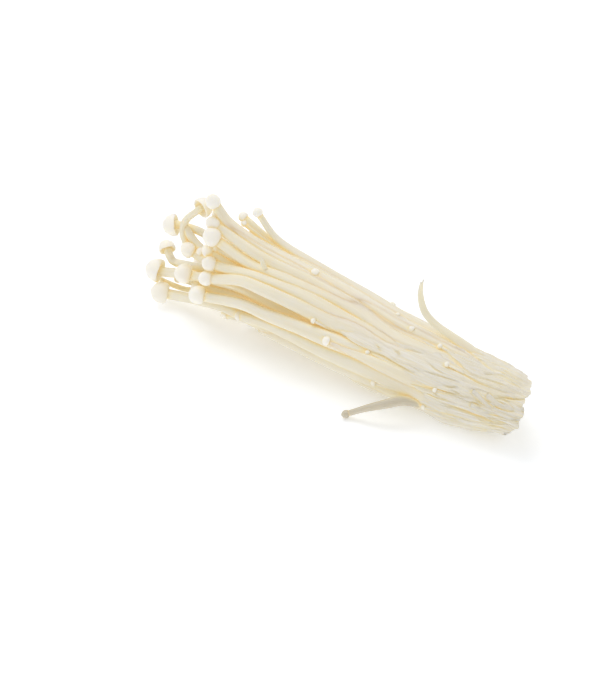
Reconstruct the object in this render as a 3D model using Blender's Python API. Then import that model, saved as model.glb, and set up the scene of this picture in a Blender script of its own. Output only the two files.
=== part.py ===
"""A bunch of enoki mushrooms, torn from its clump and laid on its side.

It is one growth: long stems with button caps stand out of a root block, where they have grown together.
Lengths below are in millimetres, and MM turns them into metres where a mesh is made.
A place in the bunch is (along, across, up): along from the cut root end to the caps (-X), across to the
far side (+Y), and up from the surface that the bunch lies on (+Z).
"""

import math
import random
from collections import namedtuple

import bmesh
import bpy
from mathutils import Vector

MM = 0.001
SEED = 7

# The middle of the footprint, which is the origin, as (along, across)
FOOTPRINT_MIDDLE = (72.0, -2.0)

# The bunch's oval girth at stations along it
Section = namedtuple("Section", "along half_width half_height centre_up")
SECTIONS = (
    Section(0, 12.2, 9.4, 11.5),
    Section(8, 13.2, 10.8, 11.1),
    Section(20, 14.5, 12.0, 11.0),
    Section(45, 15.0, 11.6, 12.8),
    Section(70, 15.7, 12.7, 16.4),
    Section(95, 17.0, 14.4, 21.0),
    Section(125, 18.0, 16.0, 24.0),
)

# The root block: stems grown into one mass, ribbed, that tapers in among the free stems.
# Each ring is (along, share of the girth that it fills).
BLOCK_RINGS = (
    (3, 1.0), (8, 1.0), (14, 0.99), (22, 0.98), (30, 0.97), (40, 0.93),
    (52, 0.84), (66, 0.72), (80, 0.66), (94, 0.58), (108, 0.3),
)
BLOCK_RIBS = 28
RIB_HEIGHT = 1.5
RIBS_FADE = 45.0
RIBS_PRESSED_FLAT_ANGLE = 270
RIBS_PRESSED_HALF_ANGLE = 55

# On the near upper side the stems stay grown together further out, as one sheet
SHEET_ANGLE = 140
SHEET_HALF_ANGLE = 45
SHEET_REACH = 18.0
SHEET_STARTS = 12.0
SHEET_WIDEST = 54.0
SHEET_ENDS = 112.0

# The lower near side of the block sags on the surface
SAG = 1.7
SAG_ANGLE = 224
SAG_HALF_ANGLE = 50
SAG_MIDDLE = 22.0
SAG_HALF_LENGTH = 20.0

# The slanted, ragged cut through the root block, with a lip where it broke away on top
CUT_LEAN_ACROSS = 0.58
CUT_LEAN_UP = -0.24
CUT_LEAN_FADES = 20.0
CUT_RAGGED = 0.9
CUT_LIP = 2.4
CUT_LIP_ANGLE = 92
CUT_LIP_HALF_ANGLE = 50
CUT_CORNER = 3.4
CUT_CORNER_ANGLE = 215
CUT_CORNER_HALF_ANGLE = 48
CUT_EDGE_FILL = 0.985
CUT_FACE_RINGS = ((1.2, 0.9), (0.6, 0.55))

# Stems and caps
ROOT_START = 9.0
RISE_STATIONS = (24.0, 46.0)
ROOT_SUNK = 0.76
STEM_SIDES = 7
STEM_RINGS = 10
STEM_RINGS_CROWD_TIP = 0.78
STEM_FLATTEN = 0.9
ROOT_SHARE = 0.82
PIN_SIDES = 5
PIN_RINGS = 4

# A cap as (distance along its axis, radius), in cap lengths and cap radii, from the neck to the top
CAP_PROFILE = ((0.0, 0.72), (0.16, 1.02), (0.45, 1.08), (0.8, 0.78))
OPENED_CAP_PROFILE = ((0.12, 0.86), (0.08, 1.04), (0.4, 1.04), (0.78, 0.7))
HEADS_TURN = (-0.48, -0.68, 0.56)
PIN_PROFILE = ((0.1, 0.9), (0.5, 1.0), (0.85, 0.6))

# angle: where the stem lies round the bunch, 0 at the far side and 90 on top, in degrees
# ring: how far out it lies, 1 on the girth
# path: the places that it passes beyond the root block, and the last is the cap's neck
# nod: how far the cap turns to the near side and up, away from the way its stem points
# neck: how thick the stem is at its cap, as a share of its thickness
# facing: which way an opened cap's top faces
MUSHROOM_VALUES = "angle ring stem cap cap_length path nod neck facing"
Mushroom = namedtuple("Mushroom", MUSHROOM_VALUES, defaults=(0.0, 0.76, None))

# The near side, the top and the heads in front, each placed as on the real bunch
NEAR_MUSHROOMS = (
    # Along the lower near side
    Mushroom(222, 0.95, 2.5, 0.75, 1.2, ((58, -10.8, 5.6), (69.5, -9.2, 5.8)), 0.0, 0.3),
    Mushroom(203, 0.93, 2.5, 0.0, 0.0, ((66, -12.2, 9.5), (86, -10, 9.4), (98, -7.8, 8.6))),
    Mushroom(180, 0.93, 2.6, 1.9, 3.0,
             ((57, -14.4, 14.1), (75, -14.5, 15.5), (92, -13.2, 15.4), (105, -9.8, 11.6)), 0.3),
    Mushroom(214, 0.8, 1.8, 1.7, 2.8, ((84, -9.5, 9.8), (100, -8.3, 11.2), (114.6, -6.4, 8.8)), 0.4),
    Mushroom(226, 0.72, 2.1, 3.7, 6.0,
             ((95, -8.6, 10), (114, -7.6, 10.4), (128, -6.2, 8), (142.2, -4.4, 4.4)), 0.8, 0.9),
    # Running out past the hollow at the middle of the near side
    Mushroom(158, 0.93, 2.3, 3.1, 5.3,
             ((58, -13.3, 19), (75, -14.3, 20.1), (92, -14.4, 20), (103, -13.1, 19.2), (120.8, -11.2, 15)),
             0.8),
    Mushroom(134, 0.93, 2.3, 2.5, 4.5,
             ((57, -9.4, 23.3), (76, -11.1, 25.8), (94, -12.4, 28), (104.5, -11.5, 27.4),
              (117.8, -10.4, 22.8)), 0.75),
    Mushroom(124, 0.9, 2.1, 2.5, 4.6, ((77, -8.3, 28), (96, -9.4, 29.8), (118, -8.1, 27.1)), 0.75),
    Mushroom(192, 0.5, 2.1, 4.1, 6.2,
             ((121, -4, 15.8), (134, -2.9, 14.4), (146.4, -1.8, 10.8)), 0.0, 0.88, (0.96, -0.25, 0.13)),
    Mushroom(172, 0.72, 2.1, 3.4, 5.6, ((104, -9.2, 22.5), (116, -8.4, 21.6), (129.5, -7.2, 18.5)), 0.8),
    # Along the top
    Mushroom(110, 0.93, 2.3, 3.1, 5.6,
             ((64, -3.5, 27.1), (88, -6, 30.3), (103, -5.8, 31), (119.2, -5, 35.2)), 0.8),
    Mushroom(97, 0.88, 2.5, 2.4, 4.6, ((82, -2.5, 31), (102, -2.8, 33.6), (121, -2, 38.6)), 0.55),
    Mushroom(84, 0.93, 2.6, 2.5, 4.6,
             ((84, 1.2, 31.4), (105, 0.8, 35.4), (118.2, 0.7, 40), (123.2, 0, 45.6)), 0.5),
    Mushroom(62, 0.93, 2.5, 1.75, 2.8,
             ((64, 7.4, 25.6), (87, 6.6, 31.2), (101, 5.6, 36.6), (108.2, 5, 44.4)), 0.3, 0.52),
    Mushroom(73, 0.9, 1.7, 1.75, 2.6, ((88, 4.8, 31.5), (102, 5.6, 34.4), (114.2, 5.1, 40.8)), 0.1),
    Mushroom(76, 0.84, 1.4, 1.3, 2.0, ((88, 4.2, 31), (104, 4.4, 35.2), (113.2, 4.1, 39.2)), 0.4),
    # Rising from the middle of the bunch
    Mushroom(130, 0.5, 1.8, 3.7, 5.4,
             ((106, 1, 26.5), (122, 2, 28.6), (132, 1.6, 31.2), (140.2, 0.2, 31.6)),
             0.0, 0.8, (0.87, -0.45, -0.2)),
    Mushroom(110, 0.5, 1.7, 3.5, 5.0,
             ((121, -3, 23.6), (134.4, -2, 27.2), (136.1, -1, 34.3), (130.6, 0.6, 41)),
             0.0, 0.76, (-0.3, 0.94, 0.18)),
    Mushroom(150, 0.5, 1.8, 2.6, 4.8, ((108, -5.5, 23), (119, -5, 24), (130.4, -4.1, 25.7)), 0.5),
    Mushroom(100, 0.4, 1.7, 2.9, 4.2,
             ((112, 0, 19), (130, -0.4, 17.6), (139.6, 0.5, 15.6), (143.6, 1, 15), (145.6, 1, 18.4)),
             0.0, 0.82, (0.7, 0.53, 0.48)),
    Mushroom(140, 0.72, 2.0, 2.3, 3.8, ((100, -6.4, 26.4), (112, -5.6, 27.2), (121.4, -5, 29.4)), 0.4),
    Mushroom(118, 0.65, 1.8, 1.7, 2.8, ((106, -4, 25.6), (116, -3.3, 25.4), (126.6, -3, 26.2)), 0.4),
    # Between the others, with heads that stay behind theirs
    Mushroom(104, 0.74, 2.2, 1.8, 2.8, ((90, -3.4, 27.6), (108, -3.2, 29.4), (119.6, -3.4, 31)), 0.3),
    Mushroom(90, 0.78, 2.4, 1.8, 2.8, ((85, 0.2, 30), (103, -0.8, 32.6), (119.4, -0.8, 36.6)), 0.3),
    Mushroom(92, 0.9, 2.3, 1.7, 2.4,
             ((84, -0.9, 31.2), (104, -0.2, 35), (117, 0.2, 38.8), (122.2, 0.4, 41.6)), 0.4),
    Mushroom(70, 0.78, 2.0, 1.6, 2.4, ((84, 3.2, 29.8), (100, 3, 33), (110, 3, 35.6)), 0.2),
    Mushroom(146, 0.74, 2.1, 2.0, 3.0, ((84, -8, 22), (104, -7.6, 23.6), (120, -6.6, 20.6)), 0.3),
    Mushroom(166, 0.76, 2.2, 2.2, 3.2, ((84, -9.6, 17.4), (104, -9.2, 18), (126, -6.6, 14)), 0.3),
    Mushroom(120, 0.5, 1.9, 0.0, 0.0,
             ((110, -3.4, 26), (121, -3.2, 25.6), (131, -1.6, 28.4), (136.6, -0.6, 33.2))),
    Mushroom(214, 0.4, 1.3, 1.2, 1.8,
             ((112, -2.4, 14), (130.5, -0.5, 7.8), (139, 0, 5.6), (147, 0, 5.6)), 0.2),
    Mushroom(186, 0.4, 1.7, 1.6, 2.4, ((112, -2, 15.4), (128.6, 0, 10.6), (140.4, 1, 8.6)), 0.2),
    # Short ones that lie on the others
    Mushroom(160, 0.98, 2.1, 1.4, 2.4, ((50, -14.3, 18), (65, -15.3, 19.7)), 0.2, 0.42),
    Mushroom(88, 0.98, 2.2, 1.2, 2.0, ((64, 0.6, 28), (81, 0.8, 32.2)), 0.1, 0.36),
    # A stem bent out from under the bunch, lying on the surface
    Mushroom(226, 0.86, 1.8, 1.45, 2.5,
             ((34, -16.6, 8.6), (38, -20, 7.9), (43.5, -22.6, 5.6), (50.3, -25, 1.95)), 0.5, 0.6),
)

# The far side and the underside, laid out by a rule from the top round to the lower near side
FAR_ANGLES = tuple(range(44, -118, -18))
FAR_RING = 0.92
FAR_REACH = (116.0, 141.0)
UNDER_REACH = (96.0, 122.0)
FAR_FLARE = (1.0, 1.16)
FAR_STEM = (1.8, 2.1)
FAR_CAP = (2.2, 3.3)
FAR_DROP_STARTS = 24.0
FAR_DROP_ENDS = -58.0
FAR_CAP_CLEARS = 1.15
FAR_TOP_LIMIT = 25.0
UNDER_FROM = -70.0
UNDER_SIDESTEP = 5.0
FAR_BENDS_FROM = 70.0
INNER_MUSHROOMS = 4
INNER_RING = 0.5
INNER_ANGLES = (20, -60)
INNER_FLARE = 0.62

# Undeveloped pins that lie on the bunch. along, angle and ring give the head's place, and head its radius.
Pin = namedtuple("Pin", "along angle length head ring", defaults=(1.03,))
PINS = (
    Pin(50, 149, 14, 0.8),
    Pin(51, 69, 14, 0.8),
    Pin(43, 79, 13, 1.0, 1.09),
    Pin(30, 90, 8, 0.75, 1.06),
    Pin(24, 113, 9, 0.8, 1.05),
    Pin(46, 193, 16, 1.0),
    Pin(23, 158, 9, 0.75),
    Pin(27, 198, 9, 0.75),
    Pin(58, 30, 20, 1.0),
    Pin(40, -20, 18, 0.9),
    Pin(70, 4, 26, 1.1),
    Pin(72, 146, 7, 0.8),
)
PIN_STEM_SHARE = 0.58
PIN_ROOT_RING = 0.86
PIN_MIDDLE_SHARE = 0.92

# Torn slivers of outer flesh: one curls up from the top of the root block, and a small one stands on a stem
Sliver = namedtuple("Sliver", "line radii")
SLIVERS = (
    Sliver(((16, 4, 20.4), (26.5, 4, 24.5), (35.4, 4, 27.7), (39.6, 4, 31), (41.4, 4, 36.5), (41.2, 4, 41.4),
            (40.8, 4, 43.6)), (1.8, 2.0, 1.55, 1.35, 1.35, 1.1, 0.6)),
    Sliver(((96.4, -6, 30.6), (97.4, -6.9, 32.8), (98.1, -7.2, 34.8), (98.8, -7.3, 36.6)),
           (0.8, 0.9, 0.85, 0.6)),
)

# The underside is pressed flat this far above the surface, and three low points reach down to it.
# Each place is (along, across).
FLAT_SPOT_UP = 0.05
LOW_POINTS = ((13.6, 1.5), (51.5, -25.3), (120.3, 15.3))
CUTTER_DEPTH = 6.0
FLESH_COLOUR = (0.87, 0.81, 0.68, 1.0)
FLESH_ROUGHNESS = 0.45
SHARP_FROM_DEGREES = 50


def clear_scene():
    for thing in list(bpy.data.objects):
        bpy.data.objects.remove(thing)


def ease(low, high, share):
    share = min(1.0, max(0.0, share))
    share = share * share * (3 - 2 * share)
    return low + (high - low) * share


def section_at(along):
    """The bunch's girth at a place along it, read between the stations."""
    along = min(max(along, SECTIONS[0].along), SECTIONS[-1].along)
    for before, after in zip(SECTIONS, SECTIONS[1:]):
        if along <= after.along:
            share = (along - before.along) / (after.along - before.along)
            return Section(along, *(a + (b - a) * share for a, b in zip(before[1:], after[1:])))


def on_bunch(along, angle, ring):
    """A place at that angle round the bunch, ring times as far out as its girth."""
    girth = section_at(along)
    turn = math.radians(angle)
    across = girth.half_width * ring * math.cos(turn)
    return Vector((along, across, girth.centre_up + girth.half_height * ring * math.sin(turn)))


def to_world(place):
    along, across, up = place
    return Vector((FOOTPRINT_MIDDLE[0] - along, across - FOOTPRINT_MIDDLE[1], up)) * MM


def smooth_line(places, count, crowd_tip=1.0):
    """count points on a smooth curve through the places, crowded towards its tip by a crowd_tip under 1."""
    points = [Vector(p) for p in places]
    knots = [points[0] * 2 - points[1], *points, points[-1] * 2 - points[-2]]
    dense = []
    steps = 16
    for a, b, c, d in zip(knots, knots[1:], knots[2:], knots[3:]):
        reach = (c - b).length
        start = (c - a).normalized() * reach
        end = (d - b).normalized() * reach
        for i in range(steps):
            t = i / steps
            dense.append(
                b * (2 * t**3 - 3 * t**2 + 1)
                + start * (t**3 - 2 * t**2 + t)
                + c * (3 * t**2 - 2 * t**3)
                + end * (t**3 - t**2)
            )
    dense.append(points[-1])
    run = [0.0]
    for a, b in zip(dense, dense[1:]):
        run.append(run[-1] + (b - a).length)
    line = []
    at = 0
    for i in range(count):
        wanted = run[-1] * (i / (count - 1)) ** crowd_tip
        while at < len(run) - 2 and run[at + 1] < wanted:
            at += 1
        share = (wanted - run[at]) / (run[at + 1] - run[at])
        line.append(dense[at].lerp(dense[at + 1], min(1.0, share)))
    return line


def sweep(name, line, radii, sides, flattened=0):
    """A closed tube round the line, pointed at its far end. Its first rings can be flat, as a stem's are."""
    mesh = bmesh.new()
    side = Vector((0, 0, 1)).cross(line[1] - line[0]).normalized()
    rings = []
    for i, (centre, radius) in enumerate(zip(line[:-1], radii[:-1])):
        forward = (line[i + 1] - line[max(i - 1, 0)]).normalized()
        side = (side - forward * side.dot(forward)).normalized()
        rise = forward.cross(side)
        flatten = STEM_FLATTEN if i < flattened else 1.0
        ring = []
        for n in range(sides):
            turn = 2 * math.pi * n / sides
            offset = side * math.cos(turn) * radius + rise * math.sin(turn) * radius * flatten
            ring.append(mesh.verts.new(to_world(centre + offset)))
        rings.append(ring)
    top = mesh.verts.new(to_world(line[-1]))
    mesh.faces.new(rings[0])
    for ring, after in zip(rings, rings[1:]):
        for n in range(sides):
            mesh.faces.new((ring[n - 1], ring[n], after[n], after[n - 1]))
    for n in range(sides):
        mesh.faces.new((rings[-1][n - 1], rings[-1][n], top))
    bmesh.ops.recalc_face_normals(mesh, faces=mesh.faces)
    return to_object(name, mesh)


def to_object(name, mesh):
    data = bpy.data.meshes.new(name)
    mesh.to_mesh(data)
    mesh.free()
    made = bpy.data.objects.new(name, data)
    bpy.context.scene.collection.objects.link(made)
    return made


def add_cap(line, radii, radius, length, profile, axis):
    """Carries a stem's line and radii on through its cap, along the cap's axis."""
    neck = line[-1]
    for distance, share in profile:
        line.append(neck + axis * length * distance)
        radii.append(radius * share)
    line.append(neck + axis * length)
    radii.append(0.0)


def build_mushroom(name, mushroom):
    root = [on_bunch(ROOT_START, mushroom.angle, mushroom.ring * ROOT_SUNK)]
    for along in RISE_STATIONS:
        if along < mushroom.path[0][0] - 8:
            sunk = ease(ROOT_SUNK, 1, along / RISE_STATIONS[-1])
            root.append(on_bunch(along, mushroom.angle, mushroom.ring * sunk))
    line = smooth_line([*root, *mushroom.path], STEM_RINGS, STEM_RINGS_CROWD_TIP)
    radii = []
    for i in range(STEM_RINGS):
        share = i / (STEM_RINGS - 1)
        thinning = ease(ROOT_SHARE, 1, share * 3) * ease(1, mushroom.neck, share * 2.5 - 1.5)
        radii.append(mushroom.stem * thinning)
    if mushroom.cap:
        axis = (line[-1] - line[-2]).normalized() + Vector(HEADS_TURN) * mushroom.nod
        axis = Vector(mushroom.facing or axis).normalized()
        profile = OPENED_CAP_PROFILE if mushroom.facing else CAP_PROFILE
        add_cap(line, radii, mushroom.cap, mushroom.cap_length, profile, axis)
    else:
        line.append(line[-1] + (line[-1] - line[-2]).normalized() * mushroom.stem / 2)
        radii.append(0.0)
    return sweep(name, line, radii, STEM_SIDES, STEM_RINGS)


def build_pin(name, pin):
    root = on_bunch(pin.along - pin.length, pin.angle, PIN_ROOT_RING)
    middle = on_bunch(pin.along - pin.length / 2, pin.angle, pin.ring * PIN_MIDDLE_SHARE)
    line = smooth_line([root, middle, on_bunch(pin.along, pin.angle, pin.ring)], PIN_RINGS)
    radii = [pin.head * PIN_STEM_SHARE * ease(1.6, 1, i / (PIN_RINGS - 1)) for i in range(PIN_RINGS)]
    add_cap(line, radii, pin.head, pin.head * 2, PIN_PROFILE, (line[-1] - line[-2]).normalized())
    return sweep(name, line, radii, PIN_SIDES)


def far_mushrooms():
    """The far side, the underside and the middle behind the heads, by a rule with a seeded draw."""
    draw = random.Random(SEED)
    made = []
    for angle in FAR_ANGLES:
        under = angle < UNDER_FROM
        reach = draw.uniform(*(UNDER_REACH if under else FAR_REACH))
        flare = draw.uniform(*FAR_FLARE)
        made.append(far_mushroom(draw, angle, FAR_RING, reach, flare, UNDER_SIDESTEP * under))
    low, high = INNER_ANGLES
    for i in range(INNER_MUSHROOMS):
        angle = low + (high - low) * i / (INNER_MUSHROOMS - 1)
        made.append(far_mushroom(draw, angle, INNER_RING, draw.uniform(*FAR_REACH), INNER_FLARE, 0))
    return made


def far_mushroom(draw, angle, ring, reach, flare, sidestep):
    cap = draw.uniform(*FAR_CAP)
    drop = ease(0, 1, (FAR_DROP_STARTS - angle) / (FAR_DROP_STARTS - FAR_DROP_ENDS))
    tip = on_bunch(reach, angle, flare)
    low = cap * FAR_CAP_CLEARS
    tip.z = min(FAR_TOP_LIMIT, tip.z + (low - tip.z) * drop)
    tip.y += sidestep
    middle = on_bunch((FAR_BENDS_FROM + reach) / 2, angle, ring * (1 + flare) / 2)
    middle.z = min(FAR_TOP_LIMIT, middle.z + (low - middle.z) * drop / 2)
    middle.y += draw.uniform(-1, 1) + sidestep / 2
    return Mushroom(angle, ring, draw.uniform(*FAR_STEM), cap, cap * 1.5, (middle, tip))


def bump(angle, middle, half):
    """1 at the middle angle, easing to 0 at half on either side of it."""
    away = abs((angle - middle + 180) % 360 - 180)
    return ease(1, 0, away / half)


def sheet_reach(along):
    """How far the sheet draws a ring of the block out along the bunch."""
    drawn = ease(0, 1, (along - SHEET_STARTS) / (SHEET_WIDEST - SHEET_STARTS))
    return SHEET_REACH * drawn * ease(1, 0.2, (along - SHEET_WIDEST) / (SHEET_ENDS - SHEET_WIDEST))


def block_ring(mesh, along, fill, ribs, cut=None):
    """One ribbed ring of the root block. Near the cut it leans as the cut does."""
    lean = max(0.0, 1 - along / CUT_LEAN_FADES)
    girth = section_at(along)
    count = BLOCK_RIBS * 2
    ring = []
    for n in range(count):
        angle = 360 * n / count
        reach = along + sheet_reach(along) * bump(angle, SHEET_ANGLE, SHEET_HALF_ANGLE)
        pressed = bump(angle, RIBS_PRESSED_FLAT_ANGLE, RIBS_PRESSED_HALF_ANGLE)
        rib = -RIB_HEIGHT * ribs[n // 2] * (n % 2) * max(0, 1 - along / RIBS_FADE) * (1 - pressed)
        sag = SAG * bump(angle, SAG_ANGLE, SAG_HALF_ANGLE)
        sag *= ease(1, 0, abs(along - SAG_MIDDLE) / SAG_HALF_LENGTH)
        place = on_bunch(reach, angle, fill + (rib + sag) / girth.half_width)
        place.x += (CUT_LEAN_ACROSS * place.y + CUT_LEAN_UP * (place.z - girth.centre_up)) * lean
        place.x -= CUT_LIP * bump(angle, CUT_LIP_ANGLE, CUT_LIP_HALF_ANGLE) * lean * fill
        place.x += CUT_CORNER * bump(angle, CUT_CORNER_ANGLE, CUT_CORNER_HALF_ANGLE) * lean**2 * fill
        if cut:
            place.x += cut[n]
        ring.append(mesh.verts.new(to_world(place)))
    return ring


def build_root_block():
    draw = random.Random(SEED)
    mesh = bmesh.new()
    ribs = [draw.uniform(0.35, 1) for _ in range(BLOCK_RIBS)]
    ragged = [draw.uniform(-CUT_RAGGED, CUT_RAGGED) for _ in range(BLOCK_RIBS * 2)]
    middle = Vector((0, 0, SECTIONS[0].centre_up))
    rings = [block_ring(mesh, -push, fill, ribs) for push, fill in reversed(CUT_FACE_RINGS)]
    rings.append(block_ring(mesh, 0, CUT_EDGE_FILL, ribs, ragged))
    rings += [block_ring(mesh, along, fill, ribs) for along, fill in BLOCK_RINGS]
    centre = mesh.verts.new(to_world(middle))
    for n in range(len(rings[0])):
        mesh.faces.new((rings[0][n], rings[0][n - 1], centre))
    mesh.faces.new(reversed(rings[-1]))
    for ring, after in zip(rings, rings[1:]):
        for n in range(len(ring)):
            mesh.faces.new((ring[n - 1], ring[n], after[n], after[n - 1]))
    bmesh.ops.recalc_face_normals(mesh, faces=mesh.faces)
    return to_object("root_block", mesh)


def build_sliver(name, sliver):
    return sweep(name, [Vector(p) for p in sliver.line], list(sliver.radii), PIN_SIDES)


def build_floor_cutter():
    """What lies below the underside, which it trims flat where the bunch is pressed on the surface."""
    mesh = bmesh.new()
    bmesh.ops.create_cube(mesh, size=1)
    reach = 400 * MM
    for vertex in mesh.verts:
        up = FLAT_SPOT_UP + (vertex.co.z - 0.5) * CUTTER_DEPTH
        vertex.co = Vector((vertex.co.x * reach, vertex.co.y * reach, up * MM))
    cutter = to_object("floor_cutter", mesh)
    cutter.hide_render = True
    cutter.display_type = "WIRE"
    return cutter


def apply_modifiers(thing):
    graph = bpy.context.evaluated_depsgraph_get()
    joined = bpy.data.meshes.new_from_object(thing.evaluated_get(graph))
    thing.modifiers.clear()
    thing.data = joined


def join_all(block, repeats):
    """One union of the root block and everything that grows out of it."""
    grown = bpy.data.collections.new("grown")
    for piece in repeats:
        grown.objects.link(piece)
    union = block.modifiers.new("join", "BOOLEAN")
    union.operation = "UNION"
    union.operand_type = "COLLECTION"
    union.collection = grown
    union.solver = "EXACT"
    apply_modifiers(block)
    for piece in repeats:
        bpy.data.objects.remove(piece)
    bpy.data.collections.remove(grown)


def trim_underside(bunch):
    cutter = build_floor_cutter()
    trim = bunch.modifiers.new("trim", "BOOLEAN")
    trim.operation = "DIFFERENCE"
    trim.object = cutter
    trim.solver = "EXACT"
    apply_modifiers(bunch)
    bpy.data.objects.remove(cutter)


def keep_outer_skin(bunch):
    """Fills hollows that the union sealed, and drops loose scraps, by keeping the widest skin alone."""
    mesh = bmesh.new()
    mesh.from_mesh(bunch.data)
    bmesh.ops.triangulate(mesh, faces=mesh.faces)
    left = set(mesh.faces)
    skins = []
    while left:
        skin = []
        todo = [left.pop()]
        while todo:
            face = todo.pop()
            skin.append(face)
            for edge in face.edges:
                for other in edge.link_faces if len(edge.link_faces) == 2 else ():
                    if other in left:
                        left.remove(other)
                        todo.append(other)
        skins.append(skin)
    skins.sort(key=len)
    scraps = [face for skin in skins[:-1] for face in skin]
    bmesh.ops.delete(mesh, geom=scraps, context="FACES")
    mesh.to_mesh(bunch.data)
    mesh.free()


def reach_down(bunch):
    """Draws three low points of the underside down to the surface, so that the bunch stands still on them."""
    for along, across in LOW_POINTS:
        place = to_world((along, across, 0))
        lowest = min(bunch.data.vertices, key=lambda vertex: (vertex.co - place).length)
        lowest.co.z = 0


def flesh_material():
    flesh = bpy.data.materials.new("enoki_flesh")
    flesh.use_nodes = True
    shader = flesh.node_tree.nodes["Principled BSDF"]
    shader.inputs["Base Color"].default_value = FLESH_COLOUR
    shader.inputs["Roughness"].default_value = FLESH_ROUGHNESS
    shader.inputs["Metallic"].default_value = 0.0
    return flesh


def build_bunch():
    block = build_root_block()
    repeats = [build_sliver(f"sliver_{i}", sliver) for i, sliver in enumerate(SLIVERS)]
    for i, mushroom in enumerate([*NEAR_MUSHROOMS, *far_mushrooms()]):
        repeats.append(build_mushroom(f"mushroom_{i}", mushroom))
    for i, pin in enumerate(PINS):
        repeats.append(build_pin(f"pin_{i}", pin))
    join_all(block, repeats)
    trim_underside(block)
    keep_outer_skin(block)
    reach_down(block)
    block.name = "enoki_bunch"
    block.data.materials.clear()
    block.data.materials.append(flesh_material())
    block.data.shade_smooth()
    block.data.set_sharp_from_angle(angle=math.radians(SHARP_FROM_DEGREES))
    return block


clear_scene()
build_bunch()
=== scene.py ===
"""Looks of the enoki mushroom bunch: fine stems, caps, pins and root block stand for the plain solid.

Shape values are in millimetres, and MM turns them into metres where a mesh is made.
A place in the bunch is (along, across, up): along from the cut root end to the caps (-X), across to the
far side (+Y), and up from the surface that the bunch lies on (+Z).
"""

import math
import random
from collections import namedtuple

import bpy
import numpy as np
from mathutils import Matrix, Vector, noise
from mathutils.bvhtree import BVHTree


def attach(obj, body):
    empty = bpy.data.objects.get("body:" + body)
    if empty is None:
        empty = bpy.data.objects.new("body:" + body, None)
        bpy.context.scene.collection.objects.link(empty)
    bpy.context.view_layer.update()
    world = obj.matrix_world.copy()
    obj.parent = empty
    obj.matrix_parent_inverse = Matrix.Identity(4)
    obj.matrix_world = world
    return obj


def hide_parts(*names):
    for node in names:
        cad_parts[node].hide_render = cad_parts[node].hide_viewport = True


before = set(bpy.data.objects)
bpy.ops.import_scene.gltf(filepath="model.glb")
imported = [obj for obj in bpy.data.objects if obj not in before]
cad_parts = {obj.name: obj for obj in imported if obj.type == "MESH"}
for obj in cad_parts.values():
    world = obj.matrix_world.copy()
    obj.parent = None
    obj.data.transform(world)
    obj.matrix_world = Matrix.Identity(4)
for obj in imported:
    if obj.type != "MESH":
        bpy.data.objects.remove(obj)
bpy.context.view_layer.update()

MM = 0.001
SEED = 7
FOOTPRINT_MIDDLE = (72.0, -2.0)

Section = namedtuple("Section", "along half_width half_height centre_up")
SECTIONS = (
    Section(0, 12.2, 9.4, 11.5),
    Section(8, 13.2, 10.8, 11.1),
    Section(20, 14.5, 12.0, 11.0),
    Section(45, 15.0, 11.6, 12.8),
    Section(70, 15.7, 12.7, 16.4),
    Section(95, 17.0, 14.4, 21.0),
    Section(125, 18.0, 16.0, 24.0),
)

# Root block: (along, share of the bunch's girth) of its rings
BLOCK_RINGS = (
    (0, 1.0), (3, 1.0), (8, 1.0), (14, 0.99), (22, 0.98), (30, 0.97), (40, 0.93),
    (52, 0.84), (66, 0.72), (80, 0.66), (94, 0.58), (108, 0.3),
)
BLOCK_SIDES = 340
BLOCK_STATIONS = 150
BLOCK_GRAIN_RADIUS = 14
FACE_RINGS = 26
# How much the block's rings and its small creases crowd towards the cut
CROWD_AT_CUT = 1.4
# The near side's joined stems reach further along the bunch than the far side's
SHEET_ANGLE = 140
SHEET_HALF_ANGLE = 45
SHEET_REACH = 18.0
SHEET_STARTS = 12.0
SHEET_WIDEST = 54.0
SHEET_ENDS = 112.0
SHEET_LAST_SHARE = 0.2
# The lower near side bulges
SAG = 1.7
SAG_ANGLE = 224
SAG_HALF_ANGLE = 50
SAG_MIDDLE = 22.0
SAG_HALF_LENGTH = 20.0
# The slant of the cut, with a lip at the top and a corner taken off at the lower near side
CUT_LEAN_ACROSS = 0.58
CUT_LEAN_UP = -0.24
CUT_LEAN_FADES = 20.0
CUT_LIP = 2.4
CUT_LIP_ANGLE = 92
CUT_LIP_HALF_ANGLE = 50
CUT_CORNER = 3.4
CUT_CORNER_ANGLE = 215
CUT_CORNER_HALF_ANGLE = 48
# The cut's ragged rim: how far its teeth reach, how many there are round it, and where their noise is read
CUT_FRAYS = ((1.3, 5, 1), (0.6, 19, 2))
# The cut stem ends on the face: the width of one, and the width, in such widths, and depth of the grooves
# round it and of its hollow
CELL_WIDTH = 3.0
CELL_GROOVE = (0.22, 0.7)
CELL_HOLLOW = (0.2, 0.8)
CELL_ROUGHNESS = 0.5
CELL_GRAIN = 1.6
FACE_RIM_FROM = 0.9
# Ribs and fibres along the block, and lumps that are higher near the cut
RIBS = 30
RIB_HEIGHT = 1.0
FINE_RIBS = 64
FINE_RIB_HEIGHT = 0.62
FIBRES_AROUND = 130 / 6.3
FIBRE_HEIGHT = 0.2
RIB_ARCH_WIDTH = 0.97
RIB_ARCH_DROP = 0.75
GROOVE_FROM = 0.72
FINE_GROOVE_FROM = 0.66
FINE_GROOVE_SHARE = 0.9
LUMPS_AT_CUT = 1.1
LUMPS_FURTHER = 0.25
LUMPS_FADE = 22
RIBS_HALF_BY = 60
# Where the stems have joined into a smooth sheet on the near upper side: (along, how far out it reaches)
SMOOTH_SHEET_ANGLE = 112
SMOOTH_SHEET_HALF_ANGLE = 42
SMOOTH_SHEET_FILL = ((18, 0.97), (26, 1.03), (50, 1.05), (58, 1.04), (65, 0.96), (72, 0.8), (84, 0.3))
SMOOTH_SHEET_SHARE = 0.65
SMOOTH_SHEET_LOWER_RISE = 0.045
SMOOTH_SHEET_UPPER_EDGE = 80
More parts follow.
